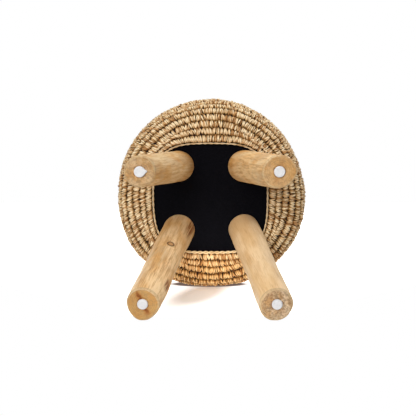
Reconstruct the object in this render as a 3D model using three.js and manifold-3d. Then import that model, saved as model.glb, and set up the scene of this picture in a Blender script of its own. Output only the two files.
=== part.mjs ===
// A round stool: a cushion seat in a crocheted raffia cover, on four splayed log legs.
// Sizes are in millimetres. +Z is up, and the origin is on the floor under the middle of the seat.

import * as THREE from 'three';
import * as BufferGeometryUtils from 'three/addons/utils/BufferGeometryUtils.js';
import Module from 'manifold-3d';

const wasm = await Module();
wasm.setup();

// Clearances
const touch_gap = 0.3; // between pieces that lie against each other
const cord_clearance = 0.6; // from the drawcord's corner to the leg beside it
const cut_overrun = 1; // how far a cutting tool passes the face that it opens

// Seat cushion and its cover
const seat_radius = 200;
const crown_height = 131; // from the leg tops to the top of the cushion
const seat_overhang = 45; // of the cushion past the base board
const raffia_thickness = 6.5;
const lip_sag = 1.5; // of the cover's inner edge below its level at the board's edge
const lining_thickness = 1;
const hem_width = 25; // of lining turned in under the board
const opening_margin = 12.7; // from a leg's top to the middle of the opening's side
const drawcord_radius = 1.7;

// Base board and what is stapled under it
const board_thickness = 15;
const dust_cover_thickness = 0.8;
const dust_cover_inset = 7; // from the board's edge
const staple_inset = 8; // from the dust cover's edge
const staple_crown = 10;
const staple_length = 8;
const staple_thickness = 0.6;
const staple_width = 1;
const staple_count = 12;

// Legs, each a tapered log cut level at both ends
const leg_height = 322.2;
const leg_top_radius = 33.9;
const leg_foot_radius = 27.6;
const leg_edge_margin = 24.37; // from a leg's top to the base board's edge
const leg_spread = 49.1; // of a leg's foot past its top, along X and along Y
const foot_chamfer = 3.5;

// Leg fixings
const bolt_radius = 4;
const bolt_depth = 40; // in the leg
const bolt_point = 6;
const bolt_end_inset = 2; // below the board's top face
const nut_wall = 1.2;
const nut_bottom_inset = 3; // above the board's underside
const nut_flange_width = 5.5;
const nut_flange_thickness = 1.5;

// Nail-on glides
const glide_radius = 9.5;
const glide_floor = 1; // of plastic under the nail's head
const glide_roof = 1.2; // of plastic over the nail's head
const nail_radius = 1.25;
const nail_head_radius = 3.5;
const nail_head_thickness = 0.7;
const nail_length = 18; // above its head
const nail_point = 2.5;

// Facets
const seat_segments = 32;
const outline_steps = 18;
const leg_segments = 28;
const glide_segments = 20;
const bolt_segments = 12;
const nail_segments = 8;
const cord_sides = 8;

// Levels, from the floor up
const nail_pocket_top_level = glide_floor + nail_head_thickness + 2 * touch_gap;
const glide_height = nail_pocket_top_level + glide_roof;
const leg_foot_level = glide_height + touch_gap;
const leg_top_level = leg_foot_level + leg_height;
const dust_cover_level = leg_top_level + touch_gap;
const hem_level = dust_cover_level + dust_cover_thickness + touch_gap;
const board_level = hem_level + lining_thickness + touch_gap;
const board_top_level = board_level + board_thickness;
const staple_level = dust_cover_level - touch_gap - staple_thickness;
const cover_level = staple_level - touch_gap - raffia_thickness;
const seat_top_level = leg_top_level + crown_height;

// Widths that follow from the ones above
const board_radius = seat_radius - seat_overhang;
const dust_cover_radius = board_radius - dust_cover_inset;
const staple_circle_radius = dust_cover_radius - staple_inset;
const leg_top_offset = (board_radius - leg_edge_margin - leg_top_radius) / Math.SQRT2;
const leg_foot_offset = leg_top_offset + leg_spread;
const nut_barrel_radius = bolt_radius + touch_gap + nut_wall;
const nut_flange_radius = nut_barrel_radius + nut_flange_width;
const opening_half_width = leg_top_offset + leg_top_radius + opening_margin;
const lip_half_width = opening_half_width + 2 * drawcord_radius + touch_gap;

// The opening is a superellipse. Its exponent puts each corner just outside the leg that stands there.
const round_exponent = 2;
const leg_splay = leg_spread / leg_height;
const lip_drop = leg_top_level - cover_level + lip_sag;
const leg_reach_at_lip = Math.SQRT2 * (leg_top_offset + leg_splay * lip_drop) + leg_top_radius;
const corner_reach = leg_reach_at_lip + cord_clearance;
const lip_exponent = Math.LN2 / Math.log((Math.SQRT2 * opening_half_width) / corner_reach);

// The cover's outline after its lip and the board's edge: first round the overhanging rim, with shares
// of the overhang and of the cover's height, then over the crown, with shares of the seat's radius.
const rim_shares = [
	[0, 0],
	[0.47, 0.043],
	[0.78, 0.118],
	[0.93, 0.241],
	[1, 0.429],
];
const crown_shares = [
	[0.995, 0.617],
	[0.955, 0.79],
	[0.845, 0.913],
	[0.61, 0.978],
	[0.3, 0.996],
	[0, 1],
];
// The rounding of a glide's foot, as shares of its radius and of its height.
const glide_edge_shares = [
	[0.8, 0],
	[0.95, 0.2],
	[1, 0.55],
	[1, 1],
];

const raffia = material(0xc9a574, 0.95);
const raffia_cord = material(0xd8c09a, 0.9);
const calico = material(0xd9cfbc, 0.95);
const foam = material(0xece2bb, 1);
const plywood = material(0xcaa877, 0.8);
const black_felt = material(0x0e0e10, 1);
const log_wood = material(0xd9b180, 0.65);
const white_plastic = material(0xe6e6e4, 0.45);
const zinc_steel = material(0xb4b4b0, 0.4, 0.9);

function material(color, roughness, metalness = 0) {
	return new THREE.MeshStandardMaterial({ color, roughness, metalness });
}

function piece(parent, name, geometry, look) {
	const mesh = new THREE.Mesh(geometry, look);
	mesh.name = name;
	parent.add(mesh);
	return mesh;
}

// A body of revolution about +Z. Its profile of [radius, height] points keeps the material on its left.
function turned(profile, segments) {
	const points = profile.map(([radius, height]) => new THREE.Vector2(radius, height));
	return new THREE.LatheGeometry(points, segments).rotateX(Math.PI / 2);
}

function rod(radius, bottom, top, segments) {
	return turned([[0, bottom], [radius, bottom], [radius, top], [0, top]], segments);
}

function toSolid(geometry) {
	const bare = geometry.clone();
	bare.deleteAttribute('normal');
	bare.deleteAttribute('uv');
	const merged = BufferGeometryUtils.mergeVertices(bare);
	const vertProperties = merged.attributes.position.array;
	const triVerts = new Uint32Array(merged.index.array);
	return new wasm.Manifold(new wasm.Mesh({ numProp: 3, vertProperties, triVerts }));
}

function cut(geometry, tools) {
	const solid = tools.reduce((rest, tool) => rest.subtract(toSolid(tool)), toSolid(geometry));
	const { vertProperties, triVerts } = solid.getMesh();
	const result = new THREE.BufferGeometry();
	result.setAttribute('position', new THREE.BufferAttribute(vertProperties, 3));
	result.setIndex(new THREE.BufferAttribute(triVerts, 1));
	result.computeVertexNormals();
	return result;
}

// Copies of a tool that stands on the axis, one over each leg's top.
function overLegTops(tool) {
	const quarters = [0, 1, 2, 3];
	return quarters.map((quarter) => tool.clone()
		.translate(leg_top_offset, leg_top_offset, 0)
		.rotateZ(quarter * Math.PI / 2));
}

// The cover's outer outline, from its lip under the seat, round the rim and up to the axis.
function coverOutline() {
	const cover_height = seat_top_level - cover_level;
	const lip = new THREE.Vector3(lip_half_width, cover_level - lip_sag);
	const rim = rim_shares.map(([across, up]) => new THREE.Vector3(
		board_radius + across * seat_overhang, cover_level + up * cover_height));
	const crown = crown_shares.map(([out, up]) => new THREE.Vector3(
		out * seat_radius, cover_level + up * cover_height));
	return new THREE.CatmullRomCurve3([lip, ...rim, ...crown], false, 'centripetal');
}

// Points of the outline, moved inwards by a depth. The last one stays on the axis.
function outlineAtDepth(depth) {
	const outline = coverOutline();
	const points = [];
	for (let step = 0; step <= outline_steps; step += 1) {
		const share = step / outline_steps;
		const point = outline.getPointAt(share);
		const along = outline.getTangentAt(share);
		const radius = step < outline_steps ? point.x - depth * along.y : 0;
		points.push([radius, point.y + depth * along.x]);
	}
	return points;
}

// The part of an outline at a depth that lies outside the board's edge.
function outlinePastBoard(depth) {
	const edge = board_radius + touch_gap + lining_thickness;
	return outlineAtDepth(depth).filter(([radius, height]) => radius > edge || height > board_top_level);
}

// Draws the rings under the seat from circles at the board's edge to superellipses at the opening.
function squareTowardsOpening(geometry) {
	const position = geometry.attributes.position;
	for (let i = 0; i < position.count; i += 1) {
		const x = position.getX(i);
		const y = position.getY(i);
		const radius = Math.hypot(x, y);
		if (position.getZ(i) < board_top_level && radius < board_radius) {
			const share = Math.min(1, (board_radius - radius) / (board_radius - lip_half_width));
			const exponent = round_exponent + share * (lip_exponent - round_exponent);
			const sum = Math.abs(x / radius) ** exponent + Math.abs(y / radius) ** exponent;
			const stretch = sum ** (-1 / exponent);
			position.setXY(i, x * stretch, y * stretch);
		}
	}
	return geometry;
}

function raffiaCover() {
	const outer = outlineAtDepth(0);
	const inner = outlineAtDepth(raffia_thickness);
	inner[0][0] = lip_half_width;
	return squareTowardsOpening(turned([...inner.reverse(), ...outer], seat_segments));
}

// The cord lies in the plane of the cover's lip and gathers it round the opening.
function drawcord() {
	const middle_level = cover_level - lip_sag + raffia_thickness / 2;
	const profile = [];
	for (let side = 0; side <= cord_sides; side += 1) {
		const angle = (2 * Math.PI * side) / cord_sides;
		const radius = opening_half_width + drawcord_radius * (1 + Math.cos(angle));
		profile.push([radius, middle_level + drawcord_radius * Math.sin(angle)]);
	}
	return squareTowardsOpening(turned(profile, seat_segments));
}

function liningCover() {
	const outer_depth = raffia_thickness + touch_gap;
	const outer = outlinePastBoard(outer_depth);
	const inner = outlinePastBoard(outer_depth + lining_thickness);
	const hem_radius = board_radius - hem_width;
	const hem_top_level = hem_level + lining_thickness;
	const hem_inside = [[board_radius, hem_top_level], [hem_radius, hem_top_level]];
	const hem_outside = [[hem_radius, hem_level], [board_radius, hem_level]];
	const profile = [...inner.reverse(), ...hem_inside, ...hem_outside, ...outer];
	return cut(turned(profile, seat_segments), stapleSlots());
}

// The cushion rests on the board and is drawn down round the board's edge by its lining.
function foamCushion() {
	const depth = raffia_thickness + touch_gap + lining_thickness + touch_gap;
	const seat_level = board_top_level + touch_gap;
	const bore = board_radius + touch_gap;
	const board_pocket = [[0, seat_level], [bore, seat_level], [bore, board_level]];
	return turned([...board_pocket, ...outlinePastBoard(depth)], seat_segments);
}

function baseBoard() {
	const board = rod(board_radius, board_level, board_top_level, seat_segments);
	const seat = board_top_level - nut_flange_thickness - touch_gap;
	const barrel_hole = nut_barrel_radius + touch_gap;
	const flange_hole = nut_flange_radius + touch_gap;
	const nut_tool = turned([
		[0, board_level - cut_overrun],
		[barrel_hole, board_level - cut_overrun],
		[barrel_hole, seat],
		[flange_hole, seat],
		[flange_hole, board_top_level + cut_overrun],
		[0, board_top_level + cut_overrun],
	], bolt_segments);
	return cut(board, [...overLegTops(nut_tool), ...stapleSlots()]);
}

function dustCover() {
	const top = dust_cover_level + dust_cover_thickness;
	const sheet = rod(dust_cover_radius, dust_cover_level, top, seat_segments);
	const bolt_tool = rod(bolt_radius + touch_gap, dust_cover_level - cut_overrun, top + cut_overrun, bolt_segments);
	return cut(sheet, [...overLegTops(bolt_tool), ...stapleSlots()]);
}

function stapleAngle(index) {
	return (2 * Math.PI * index) / staple_count;
}

// A staple stands with its crown down, along X, and its two prongs up.
function staple() {
	const half = staple_crown / 2;
	const inside = half - staple_thickness;
	const outline = new THREE.Shape([
		new THREE.Vector2(-half, 0),
		new THREE.Vector2(half, 0),
		new THREE.Vector2(half, staple_length),
		new THREE.Vector2(inside, staple_length),
		new THREE.Vector2(inside, staple_thickness),
		new THREE.Vector2(-inside, staple_thickness),
		new THREE.Vector2(-inside, staple_length),
		new THREE.Vector2(-half, staple_length),
	]);
	const wire = new THREE.ExtrudeGeometry(outline, { depth: staple_width, bevelEnabled: false });
	return wire.rotateX(Math.PI / 2).translate(0, staple_width / 2, 0);
}

// One slot for each prong of each staple, through the cloth and into the board.
function stapleSlots() {
	const bottom = staple_level - cut_overrun;
	const top = staple_level + staple_length + touch_gap;
	const prong_offset = (staple_crown - staple_thickness) / 2;
	const slots = [];
	for (let index = 0; index < staple_count; index += 1) {
		for (const side of [-1, 1]) {
			const slot = new THREE.BoxGeometry(
				staple_width + 2 * touch_gap, staple_thickness + 2 * touch_gap, top - bottom);
			slot.translate(staple_circle_radius, side * prong_offset, (top + bottom) / 2);
			slots.push(slot.rotateZ(stapleAngle(index)));
		}
	}
	return slots;
}

// A log with a level foot on the origin. It leans inwards along X and Y as it rises.
function leg() {
	const foot_face_radius = leg_foot_radius - foot_chamfer;
	const log = turned([
		[0, 0],
		[foot_face_radius, 0],
		[leg_foot_radius, foot_chamfer],
		[leg_top_radius, leg_height],
		[0, leg_height],
	], leg_segments);
	const lean = new THREE.Matrix4().makeShear(0, 0, 0, 0, -leg_splay, -leg_splay);
	log.applyMatrix4(lean);
	const bolt_hole = rod(bolt_radius + touch_gap, leg_height - bolt_depth - touch_gap,
		leg_height + cut_overrun, bolt_segments);
	bolt_hole.translate(-leg_spread, -leg_spread, 0);
	const nail_top = glide_floor + touch_gap + nail_head_thickness + nail_length - leg_foot_level;
	const nail_hole = rod(nail_radius + touch_gap, -cut_overrun, nail_top + touch_gap, nail_segments);
	return cut(log, [bolt_hole, nail_hole]);
}

// A plastic disc with a rounded edge. The nail's head is moulded into it.
function glide() {
	const edge = glide_edge_shares.map(([out, up]) => [out * glide_radius, up * glide_height]);
	const bore = nail_radius + touch_gap;
	const pocket = nail_head_radius + touch_gap;
	return turned([
		[0, 0],
		...edge,
		[bore, glide_height],
		[bore, nail_pocket_top_level],
		[pocket, nail_pocket_top_level],
		[pocket, glide_floor],
		[0, glide_floor],
	], glide_segments);
}

function glideNail() {
	const head_bottom = glide_floor + touch_gap;
	const head_top = head_bottom + nail_head_thickness;
	const tip = head_top + nail_length;
	return turned([
		[0, head_bottom],
		[nail_head_radius, head_bottom],
		[nail_head_radius, head_top],
		[nail_radius, head_top],
		[nail_radius, tip - nail_point],
		[0, tip],
	], nail_segments);
}

// A hanger bolt, pointed in the leg and plain in the nut.
function hangerBolt() {
	const tip = leg_top_level - bolt_depth;
	const top = board_top_level - bolt_end_inset;
	return turned([[0, tip], [bolt_radius, tip + bolt_point], [bolt_radius, top], [0, top]], bolt_segments);
}

// A nut with a barrel in the board and a flange that is let in flush with the board's top face.
function insertNut() {
	const flange_bottom = board_top_level - nut_flange_thickness;
	const bottom = board_level + nut_bottom_inset;
	const bore = bolt_radius + touch_gap;
	return turned([
		[bore, bottom],
		[nut_barrel_radius, bottom],
		[nut_barrel_radius, flange_bottom],
		[nut_flange_radius, flange_bottom],
		[nut_flange_radius, board_top_level],
		[bore, board_top_level],
		[bore, bottom],
	], bolt_segments);
}

function seat() {
	const group = new THREE.Group();
	piece(group, 'raffia_cover', raffiaCover(), raffia);
	piece(group, 'opening_drawcord', drawcord(), raffia_cord);
	piece(group, 'lining_cover', liningCover(), calico);
	piece(group, 'foam_cushion', foamCushion(), foam);
	piece(group, 'base_board', baseBoard(), plywood);
	piece(group, 'dust_cover', dustCover(), black_felt);
	for (let index = 0; index < staple_count; index += 1) {
		const turn = new THREE.Group();
		turn.rotation.z = stapleAngle(index);
		const mesh = piece(turn, `cover_staple_${index + 1}`, staple(), zinc_steel);
		mesh.position.set(staple_circle_radius, 0, staple_level);
		mesh.rotation.z = Math.PI / 2;
		group.add(turn);
	}
	return group;
}

// One leg with its glide and fixings, in the quarter where X and Y are positive.
function corner(number) {
	const group = new THREE.Group();
	const log = piece(group, `leg_${number}`, leg(), log_wood);
	log.position.set(leg_foot_offset, leg_foot_offset, leg_foot_level);
	for (const [name, geometry, look] of [
		['glide', glide(), white_plastic],
		['glide_nail', glideNail(), zinc_steel],
	]) {
		const mesh = piece(group, `${name}_${number}`, geometry, look);
		mesh.position.set(leg_foot_offset, leg_foot_offset, 0);
	}
	for (const [name, geometry] of [['hanger_bolt', hangerBolt()], ['insert_nut', insertNut()]]) {
		const mesh = piece(group, `${name}_${number}`, geometry, zinc_steel);
		mesh.position.set(leg_top_offset, leg_top_offset, 0);
	}
	return group;
}

const stool = new THREE.Group();
stool.add(seat());
for (let quarter = 0; quarter < 4; quarter += 1) {
	const group = corner(quarter + 1);
	group.rotation.z = quarter * Math.PI / 2;
	stool.add(group);
}

export default stool;
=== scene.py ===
"""A round stool, upright in its own frame and seen from underneath, as one that lies on its side is seen.

Its seat is a deep foam cushion in a cover of crocheted raffia, gathered by a cord round four splayed log legs.
All lengths are in metres.
"""

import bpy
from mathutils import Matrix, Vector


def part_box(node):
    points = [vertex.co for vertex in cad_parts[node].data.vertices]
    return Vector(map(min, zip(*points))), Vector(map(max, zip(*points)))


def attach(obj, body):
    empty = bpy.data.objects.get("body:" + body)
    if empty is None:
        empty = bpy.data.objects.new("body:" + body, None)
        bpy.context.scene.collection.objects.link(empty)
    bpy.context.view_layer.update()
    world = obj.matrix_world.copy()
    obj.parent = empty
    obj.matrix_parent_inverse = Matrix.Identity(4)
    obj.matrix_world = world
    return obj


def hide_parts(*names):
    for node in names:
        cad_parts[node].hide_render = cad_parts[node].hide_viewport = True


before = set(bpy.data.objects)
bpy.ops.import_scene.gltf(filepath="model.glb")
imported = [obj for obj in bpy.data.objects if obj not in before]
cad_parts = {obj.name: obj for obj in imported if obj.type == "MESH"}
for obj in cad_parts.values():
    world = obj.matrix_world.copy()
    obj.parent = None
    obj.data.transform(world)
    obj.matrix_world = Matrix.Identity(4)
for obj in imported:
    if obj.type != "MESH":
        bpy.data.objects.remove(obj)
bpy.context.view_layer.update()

import math

import bpy
import numpy as np
from mathutils import Matrix

TURN = 2 * math.pi
MM = 0.001

# ---- Sizes ----
# The seat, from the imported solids
seat_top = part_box("raffia_cover")[1].z
seat_radius = 200 * MM
board_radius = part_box("base_board")[1].x
board_bottom, board_top = (corner.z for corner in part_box("base_board"))
cord_low, cord_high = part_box("opening_drawcord")
cord_level = (cord_low.z + cord_high.z) / 2
lip_half_width = cord_high.x + 0.3 * MM
raffia_thickness = 6.5 * MM
cover_level = cord_level + 1.5 * MM - raffia_thickness / 2
cover_height = seat_top - cover_level
lip_exponent = 3.47
# The hand-made cover's lumps: height, wavelength and seed of each ripple, and where they begin and are full
cover_lumps = [(0.75 * MM, 110 * MM, 5), (0.45 * MM, 45 * MM, 6)]
lumps_begin, lumps_grow = 4 * MM, 30 * MM

# Where the cushion's rim gives way as it lies: middle and width in degrees from +X, and how far it moves out
rim_slumps = [
    (322, 22, 8.8 * MM), (213, 22, 7.0 * MM), (270, 28, 4.0 * MM), (147, 22, -4.0 * MM),
    (294, 12, 5.0 * MM), (247, 12, 5.5 * MM),
]
# How far the opening is pulled wider towards +X and towards -X
opening_pull = (5.0 * MM, 2.0 * MM)

# The crochet
row_pitch = 15.4 * MM
underside_end, side_end = 115 * MM, 245 * MM
stitch_pitch = 7.4 * MM
strand_half_width = 2.1 * MM
strand_half_thickness = 1.8 * MM
strand_level = 0.4 * MM
bridge_reach = 2.5 * MM
bridge_depth = 3.3 * MM
bridged_share = 0.52
row_dip = 4.9 * MM
ground_depth = 5.4 * MM
raffia_inner_depth = 6.2 * MM
strand_rings = np.array([0, 0.1, 0.3, 0.5, 0.7, 0.9, 1.0])
strand_sides = 6

# The legs, in the order of their nodes: which side of the seat each stands on, along X and Y
leg_sides = [(1, 1), (-1, 1), (-1, -1), (1, -1)]
leg_foot_level, leg_top_level = (corner.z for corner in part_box("leg_1"))
leg_foot_radius = 27.6 * MM
leg_top_radius = 33.9 * MM
leg_foot_offset = 117.5 * MM
leg_spread = 49.1 * MM
foot_chamfer = 3.5 * MM
# Logs are never quite round or alike: how much wider each is at its foot along X and along Y, and at its top
leg_growth = MM * np.array([(-0.3, 0, -1.0), (1.3, 1.5, -0.6), (1.0, 1.4, -1.6), (0.8, 1.8, -0.3)])
# Swellings of the logs: leg, angle and width round it in degrees, level and reach along it, and height
leg_swellings = [
    (2, 180, 17, 0.0, 80 * MM, 2.0 * MM), (3, 305, 50, 0.0, 90 * MM, 4.4 * MM), (4, 270, 40, 0.0, 90 * MM, 2.6 * MM),
    (4, 180, 32, 52 * MM, 50 * MM, 3.4 * MM),
    (3, 115, 60, 300 * MM, 80 * MM, 2.4 * MM), (3, 295, 60, 300 * MM, 80 * MM, -1.6 * MM),
]


# ---- Numbers and colours ----
def rgb(red, green, blue):
    """A colour given as 0 to 255 on a screen, as linear light with full alpha."""
    screen = np.array([red, green, blue]) / 255
    light = np.where(screen <= 0.04045, screen / 12.92, ((screen + 0.055) / 1.055) ** 2.4)
    return (*light.tolist(), 1.0)


def ripple(points, wavelength, seed, waves=9):
    """Smooth noise of about -1 to 1 in space: the scaled sum of sine waves that run in seeded directions."""
    rng = np.random.default_rng(seed)
    ways = rng.normal(size=(waves, 3))
    ways /= np.linalg.norm(ways, axis=1)[:, None] * wavelength * rng.uniform(0.7, 1.5, (waves, 1))
    phases = rng.uniform(0, TURN, waves)
    return np.sin(points @ ways.T * TURN + phases).sum(-1) / math.sqrt(waves)


def unit(vectors):
    return vectors / np.maximum(np.linalg.norm(vectors, axis=-1, keepdims=True), 1e-12)


def way_along(line):
    """How far along a line each of its points lies."""
    return np.concatenate([[0], np.cumsum(np.linalg.norm(np.diff(line, axis=0), axis=1))])


def around(sides, shift=0.0):
    """Angles of a ring's sides, once round."""
    return (np.arange(sides) + shift) * TURN / sides


def polar(radius, angle, height):
    """Points or vectors from their radius and angle about +Z and their height."""
    return np.stack(np.broadcast_arrays(radius * np.cos(angle), radius * np.sin(angle), height), -1)


def radius_and_angle(points):
    return np.hypot(points[:, 0], points[:, 1]), np.arctan2(points[:, 1], points[:, 0])


def superellipse(angle, power):
    """Radius at an angle of the superellipse in a square of half width 1."""
    return (np.abs(np.cos(angle)) ** power + np.abs(np.sin(angle)) ** power) ** (-1 / power)


def stand(name, data, axes=None, place=(0, 0, 0)):
    """An object in the scene, at the origin or with its X, Y and Z axes and its place given."""
    thing = bpy.data.objects.new(name, data)
    bpy.context.scene.collection.objects.link(thing)
    if axes is not None:
        rows = [[*(axis[i] for axis in axes), place[i]] for i in range(3)]
        thing.matrix_world = Matrix(rows + [[0, 0, 0, 1]])
    return thing


# ---- Meshes ----
def ring_faces(rings, sides):
    """Quads between neighbouring rings of a grid whose sides close round."""
    low, side = (np.arange(rings - 1) * sides)[:, None], np.arange(sides)
    high, after = low + sides, np.roll(side, -1)
    return np.stack([low + side, low + after, high + after, high + side], -1).reshape(-1, 4)


def capped_faces(rings, sides):
    """All faces of a closed shape: its quads, and the fans from its first and last ring to their poles. Its points
    are those of the rings, and then the two poles."""
    side, last, pole = np.arange(sides), (rings - 1) * sides, np.full(sides, rings * sides)
    after = np.roll(side, -1)
    fans = [np.stack([after, side, pole], -1), np.stack([last + side, last + after, pole + 1], -1)]
    return [ring_faces(rings, sides), np.concatenate(fans)]


def volume(points, faces):
    """Six times the signed volume, from the triangles that fan out of each face's first corner."""
    fans = [points[group[:, [0, k, k + 1]]] for group in faces for k in range(1, group.shape[1] - 1)]
    return sum(np.einsum("ij,ij->", fan[:, 0], np.cross(fan[:, 1], fan[:, 2])) for fan in fans)


points_of = {}  # each piece's points, by its name


def add_piece(name, points, faces, finish, slot, replaces=(), uv=None, **attributes):
    """One smooth-shaded mesh at the origin, with its faces outwards, its UV map and its attributes by vertex."""
    points_of[name] = points = np.reshape(points, (-1, 3))
    if volume(points, faces) < 0:
        faces = [group[:, ::-1] for group in faces]
    corners = np.concatenate([group.ravel() for group in faces])
    mesh = bpy.data.meshes.new(name)
    mesh.from_pydata(points, [], [face for group in faces for face in group.tolist()], shade_flat=False)
    if uv is not None:
        layer = mesh.uv_layers.new(name="surface")
        layer.data.foreach_set("uv", uv[corners].astype(np.float32).ravel())
    for key, values in attributes.items():
        values = np.asarray(values, np.float32)
        kind, field = ("FLOAT", "value") if values.ndim == 1 else ("FLOAT_VECTOR", "vector")
        mesh.attributes.new(key, kind, "POINT").data.foreach_set(field, values.ravel())
    mesh.materials.append(finish.material)
    piece = stand(name, mesh)
    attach(piece, "root")
    if replaces:
        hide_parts(*replaces)
    return piece


def turned(profile, sides):
    """A profile of radius and height, carried once round +Z. Both its ends lie on the axis, as poles."""
    rings = polar(profile[1:-1, :1], around(sides), profile[1:-1, 1:])
    poles = [[0, 0, profile[0, 1]], [0, 0, profile[-1, 1]]]
    return np.concatenate([rings.reshape(-1, 3), poles]), capped_faces(len(profile) - 2, sides)


def frames(centre, normal):
    """Unit vectors along each line of centres, across it, and up from the surface it lies on."""
    along = unit(np.gradient(centre, axis=1))
    across = unit(np.cross(along, normal))
    return along, across, np.cross(across, along)


def spindles(centre, across, up, half_width, half_depth, turn, tips=0.0):
    """The points of closed spindles: ellipses with those half axes round each line of centres, then the poles,
    which the tips move out."""
    wide = half_width[..., None, None] * np.cos(turn)[:, None] * across[..., None, :]
    deep = half_depth[..., None, None] * np.sin(turn)[:, None] * up[..., None, :]
    body = (centre[..., None, :] + wide + deep).reshape(len(centre), -1, 3)
    return np.concatenate([body, centre[:, [0, -1]] + tips], 1)


def spindle_faces(count, rings, sides):
    """The faces of that many spindles, whose points follow each other."""
    offsets = (np.arange(count) * (rings * sides + 2))[:, None, None]
    return [(group[None] + offsets).reshape(-1, group.shape[1]) for group in capped_faces(rings, sides)]


def spindle_map(side_width, ways, sides, rng, count):
    """Metres round and along each spindle, moved to its own random place in the pattern."""
    round_it = np.append(np.tile(np.arange(sides) * side_width, len(ways)), [0, 0])
    down_it = np.append(np.repeat(ways, sides), [0, ways[-1]])
    return np.stack([round_it, down_it], -1)[None] + rng.uniform(0, 0.4, (count, 1, 2))


# ---- Finishes ----
colour_result = 2  # the Mix node's third output is the one for colours


def math_method(operation):
    """A method that puts the amount, and what it is given, through a Math node."""
    return lambda *terms: terms[0].math(operation, *terms)


class Amount:
    """A node's output. Sums and products of it add Math nodes, so that a pattern is written as a formula."""

    def __init__(self, nodes, socket):
        self.nodes, self.socket = nodes, socket

    def math(self, operation, *terms):
        return self.nodes.node("ShaderNodeMath", {"operation": operation}, dict(zip(("Value", "Value_001"), terms)))

    __add__ = __radd__ = math_method("ADD")
    __mul__ = __rmul__ = math_method("MULTIPLY")
    __sub__, __pow__ = math_method("SUBTRACT"), math_method("POWER")
    sine, size = math_method("SINE"), math_method("ABSOLUTE")

    def ramp(self, low, high):
        """0 below low, 1 above high, and smooth between them. With low over high it falls."""
        inputs = {"Value": self, "From Min": low, "From Max": high}
        return self.nodes.node("ShaderNodeMapRange", {"interpolation_type": "SMOOTHSTEP"}, inputs)


class Nodes:
    """The nodes of one tree."""

    def __init__(self, tree):
        self.tree = tree

    def node(self, kind, settings=(), inputs=(), output=0):
        """Adds one node: its settings are set first, then its sockets get values or links."""
        node = self.tree.nodes.new(kind)
        for key, value in dict(settings).items():
            setattr(node, key, value)
        for key, value in dict(inputs).items():
            socket = next(s for s in node.inputs if key in (s.identifier, s.name))
            if isinstance(value, Amount):
                self.tree.links.new(value.socket, socket)
            else:
                socket.default_value = value
        return Amount(self, node.outputs[output])

    def seen(self):
        """1 for what the camera sees, also in gloss and through glass, and 0 for light on its way."""
        paths = ("Is Camera Ray", "Is Glossy Ray", "Is Transmission Ray")
        camera, glossy, through = (self.node("ShaderNodeLightPath", output=path) for path in paths)
        return (camera + glossy + through).ramp(0, 1)

    def put_out(self, factor, first, second, output):
        """Lets the tree's output show the first shader, and the second as the factor goes to 1."""
        shown = self.node("ShaderNodeMixShader", inputs={"Fac": factor, "Shader": first, "Shader_001": second})
        self.tree.links.new(shown.socket, self.tree.nodes[output].inputs["Surface"])


class Finish(Nodes):
    """A material: one Principled shader, its constants, and the patterns that feed it."""

    def __init__(self, name, **constants):
        self.material = bpy.data.materials.new(name)
        self.material.use_nodes = True
        super().__init__(self.material.node_tree)
        self.shader = self.tree.nodes["Principled BSDF"]
        self.place = self.node("ShaderNodeTexCoord", output="Object")
        for key, value in constants.items():
            self.shader.inputs[key.replace("_", " ")].default_value = value

    def feed(self, key, amount):
        self.tree.links.new(amount.socket, self.shader.inputs[key])

    def attribute(self, name, output="Fac"):
        return self.node("ShaderNodeAttribute", {"attribute_name": name}, output=output)

    def vector(self, operation, first, second=(0, 0, 0), output=0):
        inputs = {"Vector": first, "Vector_001": second}
        return self.node("ShaderNodeVectorMath", {"operation": operation}, inputs, output)

    def away(self, place, centre, size, turn=0.0):
        """Distance from the centre, in half axes of an ellipsoid that is turned about Y."""
        way = self.vector("SUBTRACT", place, centre)
        if turn:
            way = self.node("ShaderNodeVectorRotate", {"rotation_type": "Y_AXIS"}, {"Vector": way, "Angle": turn})
        return self.vector("LENGTH", self.vector("DIVIDE", way, size), output="Value")

    def part(self, vector, axis):
        return self.node("ShaderNodeSeparateXYZ", inputs={"Vector": vector}, output=axis)

    def noise(self, scale, detail=2.0, roughness=0.5, offset=(0, 0, 0), place=None):
        """Noise of 0 to 1 whose grains are 1 / scale metres long along each axis."""
        scale = scale if isinstance(scale, tuple) else (scale,) * 3
        grains = self.vector("MULTIPLY", place or self.place, scale)
        moved = self.vector("ADD", grains, offset)
        inputs = {"Vector": moved, "Scale": 1.0, "Detail": detail, "Roughness": roughness}
        return self.node("ShaderNodeTexNoise", inputs=inputs, output="Fac")

    def cells(self, scale, output="Distance"):
        """Distance to the nearest of scattered points, 1 / scale metres apart."""
        return self.node("ShaderNodeTexVoronoi", inputs={"Vector": self.place, "Scale": scale}, output=output)

    def mix(self, factor, first, second, blend="MIX"):
        """From the first colour to the second as the factor goes from 0 to 1."""
        settings = {"data_type": "RGBA", "blend_type": blend, "clamp_factor": True}
        inputs = {"Factor_Float": factor, "A_Color": first, "B_Color": second}
        return self.node("ShaderNodeMix", settings, inputs, colour_result)

    def coats(self, colour, *coats):
        """Colours laid over the first in turn, each where its mask is 1."""
        for mask, coat in coats:
            colour = self.mix(mask, colour, coat)
        return colour

    def wear(self, colour, height, roughness=None):
        """Feeds the shader its colour, a normal from the height in metres and, if given, its roughness."""
        bump = {"Height": height, "Distance": 1.0, "Strength": 1.0}
        self.feed("Normal", self.node("ShaderNodeBump", inputs=bump, output="Normal"))
        self.feed("Base Color", colour)
        if roughness is not None:
            self.feed("Roughness", roughness)
        return self


floor_bounce_tint, shade_warm_tint = rgb(255, 228, 186), rgb(212, 180, 128)


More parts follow.
